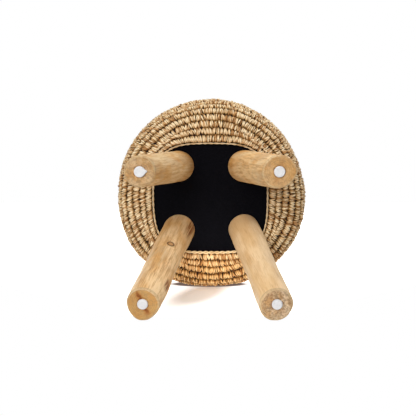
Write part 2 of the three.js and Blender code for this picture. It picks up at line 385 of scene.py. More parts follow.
def raffia_finish(name, pale, tan, brown, dark):
    """Split palm leaf: long pale, tan and brown fibres, and a tone for each strand. It has painted shade, warmer,
    then dark, where a strand dives into the fabric and on its lower side. It is more honey-coloured on the seat's
    -Y side, which faces the floor it lies on: painted warm light bounced from that floor."""
    finish = Finish(name, Specular_IOR_Level=0.28)
    strand = finish.node("ShaderNodeUVMap", {"uv_map": "surface"})
    fibres = finish.noise((1300, 90, 1), 3.0, 0.65, place=strand)
    wide = finish.noise((480, 40, 1), 1.0, offset=(7, 3, 0), place=strand)
    specks = finish.noise((1700, 150, 1), 1.0, offset=(3, 11, 0), place=strand)
    tone = finish.attribute("tone")
    deep = finish.attribute("deep")
    front = finish.part(finish.place, "Y").ramp(-100 * MM, -160 * MM)
    colour = finish.coats(
        pale,
        (fibres.ramp(0.41, 0.72), tan),
        ((wide * 0.8 + tone * 0.6).ramp(0.56, 1.04) * 0.92, tan),
        ((specks * 0.9 + tone * 0.35).ramp(0.64, 0.88) * 0.7, brown))
    # painted warm light bounced from the floor it lies on, on the seat's -Y side
    colour = finish.mix(front * 0.8, colour, floor_bounce_tint, "MULTIPLY")
    # painted shade: warmer, then near black, as the deep mask grows
    colour = finish.mix(deep.ramp(0.05, 0.75), colour, shade_warm_tint, "MULTIPLY")
    colour = finish.mix(deep.ramp(0.46, 0.94) * 0.95, colour, dark)
    return finish.wear(colour, fibres * (0.5 * MM) + wide * (0.6 * MM), fibres * 0.22 + 0.6)


# ---- The cover's form ----
# The outline after its lip and the board's edge, as in the solids: round the overhanging rim, with shares of
# the overhang and of the cover's height, then over the crown, with shares of the seat's radius.
rim_shares = [[0, 0], [0.47, 0.043], [0.78, 0.118], [0.93, 0.241], [1, 0.429]]
crown_shares = [[0.995, 0.617], [0.955, 0.79], [0.845, 0.913], [0.61, 0.978], [0.3, 0.996], [0, 1]]


def smooth_line(knots, steps=120):
    """A centripetal Catmull-Rom line through the knots: a cubic between neighbours, with the slopes of the
    parabolas through each three knots, spaced by the square roots of their distances."""
    line = np.vstack([2 * knots[0] - knots[1], knots, 2 * knots[-1] - knots[-2]])
    gaps = np.sqrt(np.linalg.norm(np.diff(line, axis=0), axis=1))[:, None]
    a, b, c, d = line[:-3], line[1:-2], line[2:-1], line[3:]
    ab, bc, cd = gaps[:-2], gaps[1:-1], gaps[2:]
    leave = ((b - a) / ab - (c - a) / (ab + bc) + (c - b) / bc) * bc
    arrive = ((c - b) / bc - (d - b) / (bc + cd) + (d - c) / cd) * bc
    t = np.linspace(0, 1, steps, endpoint=False)[:, None, None]
    points = (2 * t**3 - 3 * t**2 + 1) * b + (t**3 - 2 * t**2 + t) * leave
    points = points + (3 * t**2 - 2 * t**3) * c + (t**3 - t**2) * arrive
    return np.vstack([points.transpose(1, 0, 2).reshape(-1, 2), knots[-1:]])


rim = np.array(rim_shares) * [seat_radius - board_radius, cover_height] + [board_radius, cover_level]
crown = np.array(crown_shares) * [seat_radius, cover_height] + [0, cover_level]
outline = smooth_line(np.vstack([[lip_half_width, cover_level - 1.5 * MM], rim, crown]))
outline_way = way_along(outline)
outline_length = outline_way[-1]
outline_slope = unit(np.gradient(outline, outline_way, axis=0))


def along_outline(way):
    """Radius, height and their slopes at a way along the outline from the lip."""
    tables = (outline[:, 0], outline[:, 1], outline_slope[:, 0], outline_slope[:, 1])
    return [np.interp(way, outline_way, table) for table in tables]


def lip_share(radius, height):
    """0 at the board's edge and above the board's top, 1 at the opening's lip."""
    return np.clip((board_radius - radius) / (board_radius - lip_half_width), 0, 1) * (height < board_top)


def bell_sum(angle, bells):
    """A sum of bell curves over the angle: height times e to the minus square of the distance over the width."""
    middle, width, height = np.transpose(bells)
    away = (np.degrees(angle)[..., None] - middle + 180) % 360 - 180
    return (height * np.exp(-(away / width) ** 2)).sum(-1)


def rim_share(radius):
    """0 at the board's edge, 1 at the seat's full radius."""
    return np.clip((radius - board_radius) / (seat_radius - board_radius), 0, 1)


def opening_give(angle):
    """How far the opening is pulled out of square: the fourth power of the cosine, with its own reach per side."""
    east, west = np.clip(np.cos(angle), 0, 1) ** 4, np.clip(-np.cos(angle), 0, 1) ** 4
    return opening_pull[0] * east + opening_pull[1] * west


def cover_normal(way, angle):
    """The outline's outward normal, turned by the angle."""
    _, _, out, up = along_outline(way)
    return polar(up, angle, -out)


def cover_point(way, angle, lift=0.0, lumpy=1.0):
    """The outline's point at that way, turned by the angle and stretched to a superellipse, whose exponent goes
    from 2 at the board's edge to the lip's at the opening. It is let out where the rim and the opening give, and
    moved along its normal by the lift and the lumps."""
    radius, height, _, _ = along_outline(way)
    share = lip_share(radius, height)
    reach = radius * superellipse(angle, 2 + share * (lip_exponent - 2))
    reach = reach + rim_share(radius) * bell_sum(angle, rim_slumps) + share * opening_give(angle)
    point = polar(reach, angle, height)
    lump = sum(size * ripple(point, wavelength, seed) for size, wavelength, seed in cover_lumps)
    lift = lift + lumpy * np.clip((way - lumps_begin) / lumps_grow, 0, 1) * lump
    return point + lift[..., None] * cover_normal(way, angle)


# ---- Crochet ----
row_count = round(outline_length / row_pitch)
row_edges = np.linspace(0.4 * MM, outline_length - 2 * MM, row_count + 1)


def stitches_of_row(row):
    """Angles of a row's stitches, spaced alike along the row's own length, with half the room of each."""
    steps, jitter = 1441, 0.07
    rng = np.random.default_rng(100 + row)
    angle = np.linspace(0, TURN, steps)
    way = way_along(cover_point(row_edges[row:row + 2].mean(), angle, lumpy=0.0))
    count = max(6, round(way[-1] / stitch_pitch))
    place = (np.arange(count + 1) + rng.uniform()) / count * way[-1]
    place[1:-1] += rng.normal(0, jitter, count - 1) * stitch_pitch
    edge = np.interp(place % way[-1], way, angle) + TURN * (place // way[-1])
    return (edge[1:] + edge[:-1]) / 2, (edge[1:] - edge[:-1]) / 2


def strand_points(near, far, middle, room, lean, side, seed):
    """The strands of the stitches, as closed spindles: two form a stitch's V, on the sides -1 and 1, and a bridge to
    the next row is on side 0 and lies deeper. A centreline runs from the V's point, on the crown's side of the
    row, to the row's other edge, and rises between them in an arch. The section is an ellipse, widest at the
    middle, crumpled and rolled by chance."""
    edge_jitter, lean_jitter, height_jitter, width_jitter = 0.8 * MM, 0.36, 0.5 * MM, 0.13
    opening, opening_growth, opening_jitter = 0.24, 0.34, 0.14
    arch_power, arch_jitter = 0.86, 0.03
    roll_by_side, roll_jitter, twist_jitter = 0.25, 0.40, 0.6
    slimness, swelling, crumpling, crumple_turn = 0.36, 0.76, 0.20, 11
    rng = np.random.default_rng(seed)
    count = len(near)
    t = strand_rings[None, :]

    def vary(size):
        return rng.normal(0, size, count)[:, None]

    start = far[:, None] + 0.2 * MM + vary(edge_jitter)
    end = near[:, None] + 0.3 * MM + vary(edge_jitter)
    way = np.clip(start + (end - start) * t, 0.2 * MM, outline_length)
    apart = opening + (opening_growth + vary(opening_jitter)) * t
    slant = (lean[:, None] + vary(lean_jitter)) * (t - 0.5)
    angle = middle[:, None] + room[:, None] * (side[:, None] * apart + slant)
    arch = np.sin(math.pi * np.clip(t + vary(arch_jitter) * (t - t * t), 0, 1)) ** arch_power
    bridge = (side == 0)[:, None]
    dip = np.where(bridge, row_dip - bridge_depth, row_dip * (1 - 0.1 * t))
    lift = -strand_level - bridge_depth * bridge - dip * (1 - arch) + vary(height_jitter) * arch
    centre = cover_point(way, angle, lift)
    along, across, up = frames(centre, cover_normal(way, angle))
    roll = (roll_by_side * side[:, None] + vary(roll_jitter) + vary(twist_jitter) * (t - 0.5))[..., None]
    across, up = np.cos(roll) * across + np.sin(roll) * up, np.cos(roll) * up - np.sin(roll) * across
    # strands get slim at their ends, and near the crown's middle, where there is little room
    room_left = np.minimum(1, np.linalg.norm(centre[..., :2], axis=-1) / (9 * MM))
    swell = slimness + swelling * np.sin(math.pi * (0.10 + 0.80 * t))
    swell = swell * (1 + 0.09 * side[:, None] + vary(width_jitter))
    crumple = crumpling * np.sin(rng.uniform(0, TURN, count)[:, None] + crumple_turn * t)
    half_width = strand_half_width * swell * (0.45 + 0.55 * room_left) * (1 - crumple)
    half_depth = strand_half_thickness * swell * (1 + crumple)
    turn = around(strand_sides, 0.5)
    tips = 0.5 * strand_half_width * along[:, [0, -1]] * np.array([-1, 1])[None, :, None]
    points = spindles(centre, across, up, half_width, half_depth, turn, tips)
    side_width = 5.8 * strand_half_width / strand_sides
    uv = spindle_map(side_width, strand_rings * row_pitch, strand_sides, rng, count)
    # painted shade, by how deep each point lies in the fabric: at the strand's ends, and on its lower side
    ends = (np.abs(2 * strand_rings - 1) ** (2.4 - strand_rings))[:, None]
    below = np.clip(1.04 - np.sin(turn), 0, 1)
    deep = np.append(np.maximum(ends, below).ravel(), [1, 1])
    # a bridge lies deep in the groove between rows and gets painted shade nearly all over
    return points, uv, np.maximum(deep, 0.75 * bridge)


def crochet(name, low, high, seed, replaces=()):
    """The strands of the rows that end between two ways along the outline, as one piece. Rows wander a
    little together, and some stitches have a bridge. Tones differ by strand and slowly by patch."""
    wanders = [(0.8 * MM, 100 * MM, 8), (0.4 * MM, 24 * MM, 9)]
    lean_jitter, tone_jitter = 0.40, 0.33
    rng = np.random.default_rng(seed)
    parts = []
    for row in range(row_count):
        near, far = row_edges[row:row + 2]
        if not low <= far < high:
            continue
        middle, room = stitches_of_row(row)
        places = cover_point((near + far) / 2, middle, lumpy=0.0)
        wander = sum(size * ripple(places, wavelength, ways) for size, wavelength, ways in wanders)
        lean = 0.5 + 1.1 * np.cos(middle) + rng.normal(0, lean_jitter, len(middle))
        parts.append(np.stack([near + wander * (row > 0), far + wander, middle, room, lean]))
    table = np.concatenate(parts, 1)
    stitches = table.shape[1]
    bridged = rng.uniform(size=stitches) < bridged_share
    _, edge, middle, room, lean = table[:, bridged]
    bridges = np.stack([edge - bridge_reach, edge + bridge_reach, middle + room, room, 0.4 * lean])
    side = np.repeat([-1.0, 1.0, 0.0], [stitches, stitches, bridged.sum()])
    points, uv, deep = strand_points(*np.concatenate([table, table, bridges], 1), side, seed + 1)
    faces = spindle_faces(len(side), len(strand_rings), strand_sides)
    patch = 0.45 + 0.05 * ripple(points[:, 0], 60 * MM, 31)
    tone = np.clip(patch + rng.normal(0, tone_jitter, len(side)), 0, 1)
    piece = add_piece(name, points, faces, raffia, "raffia", replaces, uv.reshape(-1, 2),
                      tone=np.repeat(tone, points.shape[1]), deep=deep.ravel())


# the last colour of each finish is its painted shade, where the fabric is deep
raffia = raffia_finish(
    "crocheted_raffia", rgb(255, 243, 211), rgb(212, 164, 103), rgb(122, 78, 38), rgb(58, 31, 10))
# near-black raffia for the fabric behind the strands: painted shade in the gaps
shade = raffia_finish("raffia_in_the_gaps_painted_shade", rgb(52, 29, 11), rgb(40, 22, 9), rgb(24, 13, 5), rgb(20, 10, 4))
crochet("crochet_underside", 0, underside_end, 11, ["raffia_cover"])
crochet("crochet_side", underside_end, side_end, 12)
crochet("crochet_crown", side_end, math.inf, 13)


def netting():
    """The fabric behind the strands: a closed shell between two depths below the cover's surface. Its walls
    meet at the lip, and each closes in a pole. Its near-black raffia is painted shade in the gaps between strands."""
    steps, sides, map_radius = 90, 200, 0.17
    way = np.linspace(1.2 * MM, outline_length - 3 * MM, steps)[:, None]
    angle = around(sides)[None, :]
    outer, inner = (cover_point(way, angle, -depth) for depth in (ground_depth, raffia_inner_depth))
    poles = np.array([[0, 0, seat_top - raffia_inner_depth], [0, 0, seat_top - ground_depth]])
    points = np.concatenate([inner[::-1].reshape(-1, 3), outer.reshape(-1, 3), poles])
    flat = np.stack(np.broadcast_arrays(angle * map_radius, way), -1)
    uv = np.concatenate([flat[::-1].reshape(-1, 2), flat.reshape(-1, 2), np.zeros((2, 2))])
    middling = np.full(len(points), 0.5)
    return add_piece("crochet_ground", points, capped_faces(2 * steps, sides), shade, "raffia", (), uv,
                     tone=middling, deep=middling)


netting()


def loose_ends():
    """Ends of leaf that stick out of the crochet: thin three-sided ribbons at random places, in random directions.
    Each rises as the square of its length and tapers to its tip."""
    count, rings, sides = 420, 4, 3
    half_width, half_thickness, taper = 0.45 * MM, 0.16 * MM, 0.8
    rng = np.random.default_rng(77)
    way = rng.uniform(8 * MM, outline_length - 60 * MM, count)
    angle = rng.uniform(0, TURN, count)
    t = np.linspace(0, 1, rings)[None, :]
    length = rng.uniform(4, 9, count)[:, None] * MM
    heading = rng.uniform(0, TURN, count)[:, None]
    rise = rng.uniform(0.5, 3.2, count)[:, None] * MM
    radius = np.maximum(along_outline(way)[0], 20 * MM)[:, None]
    ways = way[:, None] + length * t * np.cos(heading)
    angles = angle[:, None] + length * t * np.sin(heading) / radius
    centre = cover_point(ways, angles, 0.4 * MM + rise * t**2)
    _, across, up = frames(centre, cover_normal(ways, angles))
    slim = 1 - taper * t
    points = spindles(centre, across, up, slim * half_width, slim * half_thickness, around(sides))
    uv = spindle_map(0.4 * MM, t[0] * 7 * MM, sides, rng, count)
    tone = np.repeat(rng.uniform(0, 1, count), points.shape[1])
    add_piece("loose_raffia_ends", points, spindle_faces(count, rings, sides), raffia, "raffia", (),
              uv.reshape(-1, 2), tone=tone, deep=0 * tone)


loose_ends()


def drawcord():
    """Two plies laid round each other: each one's centre circles their common line, a superellipse, once in
    every lay. On one side they are looser and thicker, and across from it they are drawn thin."""
    steps, sides, lay, plies = 900, 8, 24 * MM, 2
    angle = around(steps)
    loose = np.clip(-np.sin(angle), 0, 1) ** 6
    tight = np.clip(np.sin(angle), 0, 1) ** 6
    ply_radius = (1.0 + 0.8 * loose - 0.15 * tight)[:, None] * MM
    inset = (2.2 - 0.7 * loose - 0.9 * tight) * MM
    reach = (lip_half_width - inset) * superellipse(angle, lip_exponent) + opening_give(angle)
    line = polar(reach, angle, cord_level - 0.6 * MM)
    up = np.array([0, 0, 1.0])
    out = np.cross(unit(np.roll(line, -1, 0) - np.roll(line, 1, 0)), up)
    way = way_along(line)
    total = way[-1] + np.linalg.norm(line[0] - line[-1])
    lays = round(total / lay)
    turn = around(sides)
    loop = ring_faces(steps + 1, sides) % (steps * sides)
    points, uv, faces, groove_shade = [], [], [], []
    for ply in range(plies):
        spin = TURN * (lays * way / total + ply / plies)
        arm = np.cos(spin)[:, None] * out + np.sin(spin)[:, None] * up
        centre = line + 0.92 * ply_radius * arm
        ply_along = unit(np.roll(centre, -1, 0) - np.roll(centre, 1, 0))
        side_way = unit(np.cross(ply_along, up))
        rise = np.cross(side_way, ply_along)
        section = np.cos(turn)[None, :, None] * side_way[:, None] + np.sin(turn)[None, :, None] * rise[:, None]
        points.append((centre[:, None] + ply_radius[..., None] * section).reshape(-1, 3))
        # painted shade in the groove between the plies, on the side of each ply that faces the other
        groove_shade.append(np.clip(-np.einsum("ijk,ik->ij", section, arm), 0, 1).ravel() ** 2)
        flat = np.broadcast_arrays(ply_radius * turn[None, :] + 0.3 * ply, way[:, None])
        uv.append(np.stack(flat, -1).reshape(-1, 2))
        faces.append(loop + ply * steps * sides)
    points, uv, groove_shade = (np.concatenate(part) for part in (points, uv, groove_shade))
    tone = np.clip(0.35 + 0.25 * ripple(points, 30 * MM, 41), 0, 1)
    finish = raffia_finish(
        "raffia_cord", rgb(232, 210, 172), rgb(212, 178, 128), rgb(150, 108, 60), rgb(110, 76, 40))
    add_piece("drawcord", points, [np.concatenate(faces)], finish, "raffia_cord", ["opening_drawcord"], uv,
              tone=tone, deep=groove_shade)


drawcord()


# ---- Inside the cover ----
def outline_past_board(depth):
    """Points of the outline at a depth inside the cover, outside the board's edge or above its top."""
    way = np.linspace(0, outline_length, 120)
    radius, height, out, up = along_outline(way)
    inside = np.stack([radius - depth * up, height + depth * out], -1)
    inside[-1, 0] = 0
    kept = (inside[:, 0] > board_radius + 1.3 * MM) | (inside[:, 1] > board_top)
    return inside[kept]


def turned_and_let_out(profile):
    """A profile turned round +Z, moved out or in with the cover's rim where it lies outside the board."""
    depth = 7.3 * MM
    points, faces = turned(profile, 160)
    radius, angle = radius_and_angle(points)
    share = rim_share(radius + depth) * (radius > board_radius + 1 * MM)
    move = share * bell_sum(angle, rim_slumps)
    points[:, :2] *= (1 + move / np.maximum(radius, board_radius))[:, None]
    return points, faces


def calico_finish():
    """Unbleached cotton: threads over and under each other, with slubs."""
    finish = Finish("calico", Roughness=0.92, Specular_IOR_Level=0.15, Sheen_Weight=0.15)
    east, north, level = ((finish.part(finish.place, axis) * 5200).sine() for axis in "XYZ")
    weave = east * north + level * 0.4
    slubs = finish.noise(260, 3.0)
    colour = finish.mix(slubs.ramp(0.4, 0.7), rgb(226, 216, 195), rgb(202, 188, 160))
    return finish.wear(colour, weave * (0.06 * MM) + slubs * (0.2 * MM))


def foam_finish():
    """Polyether foam: fine open cells."""
    finish = Finish("cushion_foam", Roughness=1.0, Specular_IOR_Level=0.1)
    cells = finish.cells(900)
    colour = finish.mix(cells.ramp(0.2, 0.7), rgb(236, 224, 180), rgb(214, 196, 140))
    return finish.wear(colour, cells * (0.35 * MM))


def lining():
    """The calico bag: its outer and inner outlines, joined by the hem that is turned in under the board."""
    outer, inner = outline_past_board(6.8 * MM), outline_past_board(7.8 * MM)
    low, high, edge = board_bottom - 1.3 * MM, board_bottom - 0.3 * MM, board_radius - 25 * MM
    hem = [[board_radius, high], [edge, high], [edge, low], [board_radius, low]]
    points, faces = turned_and_let_out(np.vstack([inner[::-1], hem, outer]))
    return add_piece("calico_lining", points, faces, calico_finish(), "calico", ["lining_cover"])


def cushion():
    """The foam block: a pocket for the board below, and the outline above."""
    bore, seat = board_radius + 0.3 * MM, board_top + 0.3 * MM
    pocket = [[0, seat], [bore * 0.5, seat], [bore, seat], [bore, board_bottom]]
    points, faces = turned_and_let_out(np.vstack([pocket, outline_past_board(8.1 * MM)]))
    return add_piece("foam_block", points, faces, foam_finish(), "foam", ["foam_cushion"])


lining()
cushion()


# ---- Under the board ----
def felt_finish():
    """Black spun-bonded cloth: loose flat fibres, pressed in a fine grid of dots."""
    finish = Finish("black_felt", Roughness=0.9, Specular_IOR_Level=0.04, Sheen_Weight=0.015, Sheen_Roughness=0.5)
    fibres = finish.noise((900, 260, 1), 4.0, 0.7)
    tangle = finish.noise((240, 820, 1), 4.0, 0.7, (5, 9, 0))
    dots = (finish.part(finish.place, "X") * 2500).sine() * (finish.part(finish.place, "Y") * 2500).sine()
    colour = finish.mix((fibres + tangle).ramp(0.8, 1.3), rgb(3, 3, 6), rgb(13, 13, 18))
    return finish.wear(colour, (fibres + tangle) * (0.25 * MM) + dots * (0.05 * MM))


def dust_cover():
    """A disc of cloth, stretched on staples: two faces a thickness apart, hanging a little in the middle, with
    slow creases that fade at the edge."""
    crease_height, crease_wavelength, sag, crease_edge, crease_fade = 0.45 * MM, 75 * MM, 0.35 * MM, 108 * MM, 40 * MM
    low, high = (corner.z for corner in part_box("dust_cover"))
    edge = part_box("dust_cover")[1].x
    spokes = np.linspace(0, edge, 60)
    profile = np.vstack([np.stack([spokes, 0 * spokes + low], -1), np.stack([spokes[::-1], 0 * spokes + high], -1)])
    points, faces = turned(profile, 128)
    free = np.clip((crease_edge - radius_and_angle(points)[0]) / crease_fade, 0, 1) ** 2
    crease = np.abs(ripple(points * [1, 1, 0], crease_wavelength, 51, 5))
    points[:, 2] -= free * (crease * crease_height + sag)
    piece = add_piece("felt_panel", points, faces, felt_finish(), "black_felt", ["dust_cover"])


dust_cover()


# ---- Legs ----
def log_finish(number, pale, honey, knots=(), streaks=(), grey=0.0, figure=1.0, split=(0.5, 0.87, 0.1)):
    """Peeled log. Its growth rings are distances from a pith that wanders, so that they show as rings on the foot
    and as flames on the side. A knot, a place and a size, pushes them apart and is dark at its rim. A streak also
    has a depth of colour. The sawn foot is split across its middle, with two direction cosines and a depth."""
    finish = Finish(f"log_wood_{number}", Specular_IOR_Level=0.3)
    log = finish.attribute("log", "Vector")
    end = finish.attribute("end")
    log_x, log_y, log_z = (finish.part(log, axis) for axis in "XYZ")
    seed = 13.7 * number
    ring_pitch, pith_wander = 3.4 * MM, 16 * MM
    split_x, split_y, split_depth = split

    def noise(scale, detail, offset, roughness=0.5):
        return finish.noise(scale, detail, roughness, offset, log)

    pith_x = log_x + (noise((9, 9, 3.2), 1.0, (seed, 0, 0)) - 0.5) * pith_wander + 2.5 * MM
    pith_y = log_y + (noise((9, 9, 3.2), 1.0, (0, seed, 4)) - 0.5) * pith_wander - 2 * MM
    ring_way = (pith_x * pith_x + pith_y * pith_y) ** 0.5 + noise((70, 70, 5), 2.0, (3, seed, 1)) * (2.2 * MM)
    knot_reaches = [finish.away(log, where, size) for where, size in knots]
    for reach in knot_reaches:
        ring_way = ring_way + reach.ramp(3.0, 0.8) * (6 * MM)
    rings = (ring_way * (TURN / ring_pitch)).sine() * 0.5 + 0.5
    fibres = noise((820, 820, 20), 4.0, (seed, seed, 0), 0.66)
    long_streaks = noise((200, 200, 13), 4.0, (0, seed, 0), 0.7)
    patches = noise((26, 26, 10), 3.0, (seed, 2, 5))
    worn_patches = noise((34, 34, 12), 3.0, (8, 1, seed), 0.6)
    colour = finish.coats(
        pale,
        (patches.ramp(0.40, 0.62) * 0.85, honey),
        (rings.ramp(0.55, 1.0) * (0.25 * figure), rgb(186, 134, 72)),
        (long_streaks.ramp(0.50, 0.64) * (0.6 * figure), rgb(174, 116, 54)),
        (long_streaks.ramp(0.46, 0.34) * (0.6 * figure), rgb(240, 214, 172)),
        (worn_patches.ramp(0.50, 0.66) * (0.45 * figure), rgb(206, 180, 142)),
        (fibres.ramp(0.52, 0.72) * (0.3 + 0.3 * figure), rgb(150, 102, 54)),
        # darker and warmer towards the top, where the seat shades the log: painted shade
        (log_z.ramp(170 * MM, 330 * MM) * 0.38, finish.mix(0.55, honey, rgb(150, 100, 50))))
    for where, size, depth in streaks:
        lines = noise((330, 330, 14), 3.0, (1, seed, 3)).ramp(0.42, 0.54)
        near = finish.away(log, where, size).ramp(1.0, 0.3)
        colour = finish.mix(near * (lines * 0.8 + 0.2) * depth, colour, rgb(126, 70, 24))
    for reach in knot_reaches:
        colour = finish.coats(
            colour,
            (reach.ramp(1.0, 0.7) * 0.75, rgb(182, 128, 68)),
            (reach.ramp(1.3, 1.0) * reach.ramp(0.55, 0.85) * 0.9, rgb(96, 56, 24)))
    # the sawn foot
    mottle = noise(210, 4.0, (0, 0, seed), 0.7)
    blotch = noise(75, 3.0, (seed, 5, 0))
    bend = noise((110, 110, 1), 3.0, (seed, 3, 0))
    split_way = (log_x * split_x + log_y * split_y + (bend - 0.5) * (12 * MM)).size()
    stain = split_way.ramp(8 * MM, 1 * MM) * ring_way.ramp(30 * MM, 16 * MM)
    crack = split_way.ramp(3.2 * MM, 0.9 * MM) * ring_way.ramp(28 * MM, 15 * MM)
    # a dark brown ring round the glide: painted shade where the glide meets the wood
    shade_round_glide = ((log_x * log_x + log_y * log_y) ** 0.5).ramp(12.5 * MM, 9.6 * MM)
    sawn = finish.coats(
        rgb(178, 145, 92),
        (0.38, honey),
        (grey * 0.9, rgb(174, 148, 120)),
        (rings.ramp(0.3, 0.9) * 0.35, rgb(160, 116, 66)),
        (blotch.ramp(0.45, 0.62) * 0.5, rgb(190, 136, 72)),
        (worn_patches.ramp(0.46, 0.60) * grey, rgb(222, 198, 166)),
        (mottle.ramp(0.46, 0.60) * (0.3 + grey * 0.6), rgb(132, 104, 76)),
        (mottle.ramp(0.44, 0.34) * grey, rgb(226, 202, 168)),
        (stain * split_depth, rgb(172, 104, 38)),
        (crack * split_depth, rgb(124, 66, 22)),
        (shade_round_glide * mottle.ramp(0.35, 0.6) * 0.8, rgb(104, 66, 30)))
    chamfer = finish.mix(mottle.ramp(0.35, 0.65), rgb(168, 146, 114), rgb(124, 105, 80))
    colour = finish.coats(colour, (end.ramp(0.25, 0.44), chamfer), (end.ramp(0.5, 0.62), sawn))
    grain = fibres * (0.3 * MM) + long_streaks * (0.35 * MM) + rings * (0.08 * MM)
    height = grain + mottle * end * (0.3 * MM) - crack * end * (split_depth * MM)
    return finish.wear(colour, height, fibres * 0.2 + 0.5)


def log_profile():
    """Radius, level and end mark of each ring: the sawn foot with mark 1, its rounded chamfer with about a third,
    then the side and the top with 0."""
    face, height = leg_foot_radius - foot_chamfer, leg_top_level - leg_foot_level
    rings = [(face * share, 0, 1) for share in np.linspace(0, 1, 12)]
    for turn in np.linspace(0.08, 1, 7) * math.pi / 2:
        rings.append((face + foot_chamfer * math.sin(turn) ** 1.1, foot_chamfer * (1 - math.cos(turn)) ** 0.9, 0.34))
    for level in np.linspace(foot_chamfer + 1.5 * MM, height - 1.4 * MM, 110):
        share = (level - foot_chamfer) / (height - foot_chamfer)
        rings.append((leg_foot_radius + share * (leg_top_radius - leg_foot_radius), level, 0))
    rings += [(leg_top_radius - 0.5 * MM, height - 0.4 * MM, 0), (leg_top_radius - 1.3 * MM, height, 0)]
    return np.array(rings + [(leg_top_radius * share, height, 0) for share in (0.8, 0.4, 0)])


def leg(number, finish):
    """A tapered log: circles whose centre moves outwards as they near the floor. It is uneven, swells where a
    branch grew, and is flatter on the side on which the lower two lie."""
    sides, fade_length, flatness = 96, 30 * MM, 0.85
    slow_size, slow_wavelength, fine_size, fine_wavelength = 0.6 * MM, 55 * MM, 0.25 * MM, 20 * MM
    rings = log_profile()
    points, faces = turned(rings[:, :2], sides)
    marks = np.append(np.repeat(rings[1:-1, 2], sides), [1, 0])
    height = leg_top_level - leg_foot_level
    share = points[:, 2] / height
    foot, top = (1 - share) ** 1.6, share**1.6
    radius, angle = radius_and_angle(points)
    rim = np.clip(radius / (20 * MM), 0, 1) ** 2
    place = polar(30 * MM, angle, points[:, 2] * 0.35)
    uneven = slow_size * ripple(place, slow_wavelength, 60 + number)
    uneven += fine_size * ripple(place * [1, 1, 2], fine_wavelength, 70 + number)
    uneven *= np.clip((height - points[:, 2]) / fade_length, 0.25, 1)
    for which, middle, width, level, reach, swelling in leg_swellings:
        if which == number:
            along = np.exp(-(((points[:, 2] - level) / reach) ** 2))
            uneven += bell_sum(angle, [(middle, width, swelling)]) * along
    wide_x, wide_y, wide_top = leg_growth[number - 1]
    grown = np.stack([foot * wide_x + top * wide_top, foot * wide_y + top * wide_top], -1) + uneven[:, None]
    points[:, :2] *= 1 + (rim / np.maximum(radius, 5 * MM))[:, None] * grown
    if number > 2:
        flat = -(leg_foot_radius + 3.0 * MM)
        points[:, 1] -= flatness * np.minimum(points[:, 1] - flat, 0) * foot**4
    local = points.copy()
    points[:, :2] += np.array(leg_sides[number - 1]) * (leg_foot_offset - leg_spread * share)[:, None]
    points[:, 2] += leg_foot_level
    add_piece(f"log_{number}", points, faces, finish, "log_wood", [f"leg_{number}"], log=local, end=marks)


def on_leg(degrees, height, radius):
    """A place on a leg's side in the log's own coordinates."""
    turn = math.radians(degrees)
    return (radius * math.cos(turn), radius * math.sin(turn), height)


leg(1, log_finish(1, rgb(220, 188, 138), rgb(206, 152, 78), grey=0.3))
leg(2, log_finish(2, rgb(240, 204, 150), rgb(224, 164, 88), grey=0.15, split=(0.9, 0.3, 0.2)))
leg(3, log_finish(3, rgb(236, 206, 162), rgb(220, 182, 130), grey=0.65, figure=0.4, split=(0.8, -0.6, 0.15)))
leg(4, log_finish(
    4, rgb(242, 209, 160), rgb(214, 160, 90),
    knots=[(on_leg(112, 184 * MM, 31.2 * MM), (7 * MM, 7 * MM, 8 * MM))],
    streaks=[
        (on_leg(155, 300 * MM, 33.5 * MM), (18 * MM, 16 * MM, 66 * MM), 1.0),
        (on_leg(166, 54 * MM, 31.0 * MM), (10 * MM, 10 * MM, 25 * MM), 1.0),
    ],
    split=(0.91, -0.42, 0.8)))


# ---- Glides ----
def plastic_finish():
    """Moulded white plastic, scuffed where it slides."""
    finish = Finish("white_plastic", Specular_IOR_Level=0.45)
    scuffs = finish.noise((700, 700, 200), 4.0, 0.7)
    dirt = finish.noise(240, 3.0, offset=(4, 2, 9))
    colour = finish.mix(dirt.ramp(0.5, 0.75) * 0.5, rgb(218, 218, 220), rgb(194, 192, 190))
    return finish.wear(colour, scuffs * (0.12 * MM), scuffs * 0.25 + 0.32)


plastic = plastic_finish()


def glide(number):
    """A moulded disc: a flat face with a dimple, a rounded edge, and its nail's pocket. One has a small spur."""
    edge_radius, spur_number, spur_middle = 1.9 * MM, 1, math.radians(176)
    spur_reach, spur_width, spur_power = 0.42, 0.24, 1.4
    low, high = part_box(f"glide_{number}")
    radius, height = (high.x - low.x) / 2, high.z
    bend = np.linspace(0, math.pi / 2, 9)
    edge = np.stack([radius - edge_radius * (1 - np.sin(bend)), edge_radius * (1 - np.cos(bend))], -1)
    face = np.array([[0, 0.35], [0.9, 0.3], [1.7, 0.05], [2.1, 0], [4.5, 0], [6.5, 0]]) * MM
    inside = np.array([[1.55, 3.5], [1.55, 2.3], [3.8, 2.3], [3.8, 1.0], [0, 1.0]]) * MM
    profile = np.vstack([face, edge, [[radius, height - 0.2 * MM], [radius - 0.2 * MM, height]], inside])
    points, faces = turned(profile, 48)
    if number == spur_number:
        away, angle = radius_and_angle(points)
        off_middle = (angle - spur_middle + math.pi) % TURN - math.pi
        near_edge = np.clip(away / radius, 0, 1) ** 4
        spur = spur_reach * np.exp(-np.abs(off_middle / spur_width) ** spur_power)
        points[:, :2] *= (1 + spur * near_edge)[:, None]
    points += [(low.x + high.x) / 2, (low.y + high.y) / 2, 0]
    add_piece(f"foot_glide_{number}", points, faces, plastic, "white_plastic", [f"glide_{number}"])


for corner in range(1, 5):
    glide(corner)


